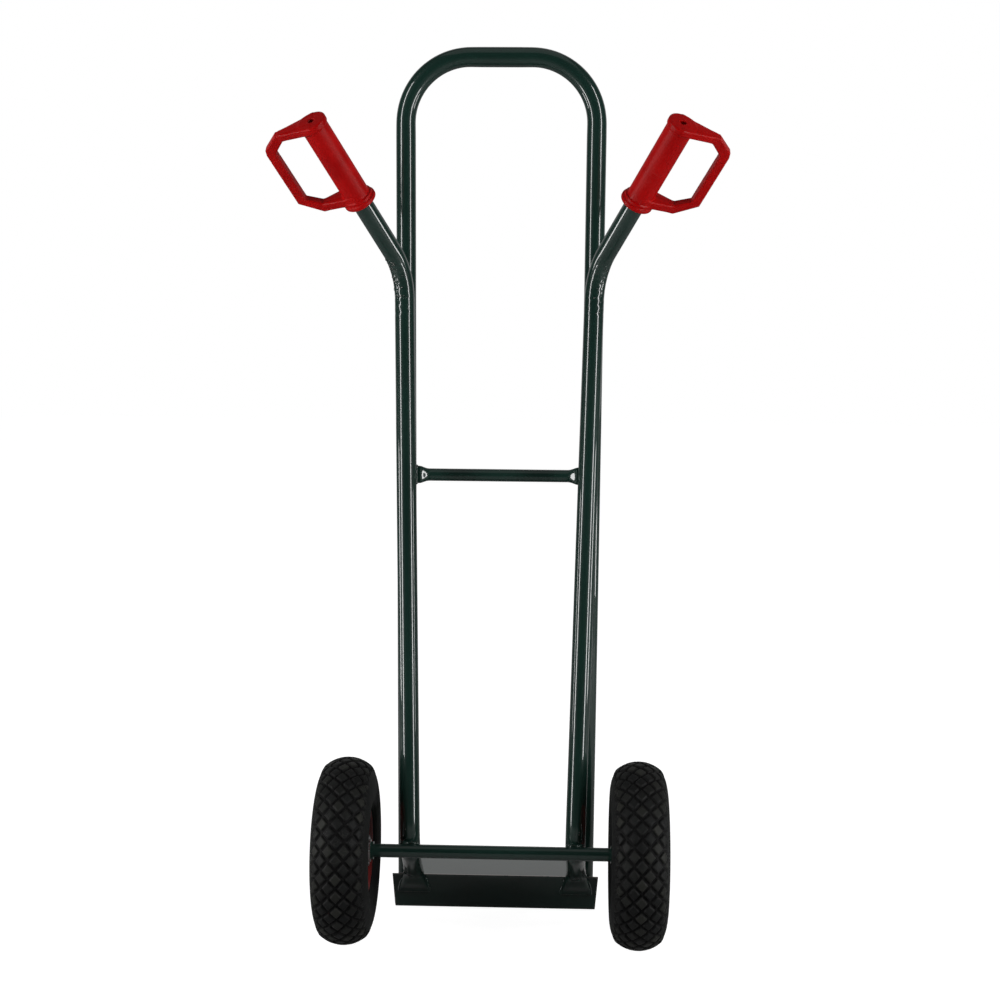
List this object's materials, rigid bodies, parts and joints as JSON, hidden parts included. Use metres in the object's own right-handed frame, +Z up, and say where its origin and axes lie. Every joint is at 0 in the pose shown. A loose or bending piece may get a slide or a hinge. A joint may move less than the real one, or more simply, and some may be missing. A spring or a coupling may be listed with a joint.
{
  "type": "hand truck",
  "caption": "Upright hand truck: tall loop frame of round tube, two swept-back side tubes with guarded grips, a small toe plate and two air-filled wheels on a cross axle.",
  "frame": {"origin": "middle of the toe plate's underside, on the floor the wheels also stand on", "axes": "+Z up along the loop, +Y from the wheels towards the load side and the toe plate's front edge, +X to the operator's right"},
  "size_m": [0.6196, 0.5116, 1.253],
  "materials": {
    "frame_paint": "glossy dark green paint",
    "rim_paint": "glossy red paint",
    "grip_plastic": "satin red plastic",
    "tyre_rubber": "matt moulded black rubber",
    "tube_rubber": "matt black rubber",
    "zinc_plated_steel": "bright zinc plating",
    "bearing_steel": "ground and polished steel",
    "valve_brass": "turned brass",
    "black_plastic": "matt black plastic"
  },
  "bodies": {
    "frame": {"loop_tube": "frame_paint", "left_side_tube": "frame_paint", "right_side_tube": "frame_paint", "cross_bar": "frame_paint", "toe_plate": "frame_paint", "axle": "frame_paint", "frame_welds": "frame_paint", "left_grip": "grip_plastic", "right_grip": "grip_plastic", "left_axle_collar": "frame_paint", "left_inner_washer": "zinc_plated_steel", "left_outer_washer": "zinc_plated_steel", "left_split_pin": "zinc_plated_steel", "left_bearing_inner_rings": "bearing_steel", "right_axle_collar": "frame_paint", "right_inner_washer": "zinc_plated_steel", "right_outer_washer": "zinc_plated_steel", "right_split_pin": "zinc_plated_steel", "right_bearing_inner_rings": "bearing_steel"},
    "left_wheel": {"left_tyre": "tyre_rubber", "left_inner_tube": "tube_rubber", "left_rim_inner_half": "rim_paint", "left_rim_outer_half": "rim_paint", "left_hub_tube": "black_plastic", "left_bearing_outer_rings": "bearing_steel", "left_bearing_balls": "bearing_steel", "left_rim_bolts": "zinc_plated_steel", "left_rim_nuts": "zinc_plated_steel", "left_valve_stem": "valve_brass", "left_valve_cap": "black_plastic"},
    "right_wheel": {"right_tyre": "tyre_rubber", "right_inner_tube": "tube_rubber", "right_rim_inner_half": "rim_paint", "right_rim_outer_half": "rim_paint", "right_hub_tube": "black_plastic", "right_bearing_outer_rings": "bearing_steel", "right_bearing_balls": "bearing_steel", "right_rim_bolts": "zinc_plated_steel", "right_rim_nuts": "zinc_plated_steel", "right_valve_stem": "valve_brass", "right_valve_cap": "black_plastic"}
  },
  "joints": [
    {"name": "left_wheel_turn", "type": "hinge", "parent": "frame", "child": "left_wheel", "pos_m": [-0.2047, -0.25664, 0.13], "axis": [1, 0, 0], "continuous": true},
    {"name": "right_wheel_turn", "type": "hinge", "parent": "frame", "child": "right_wheel", "pos_m": [0.2047, -0.25664, 0.13], "axis": [1, 0, 0], "continuous": true}
  ]
}
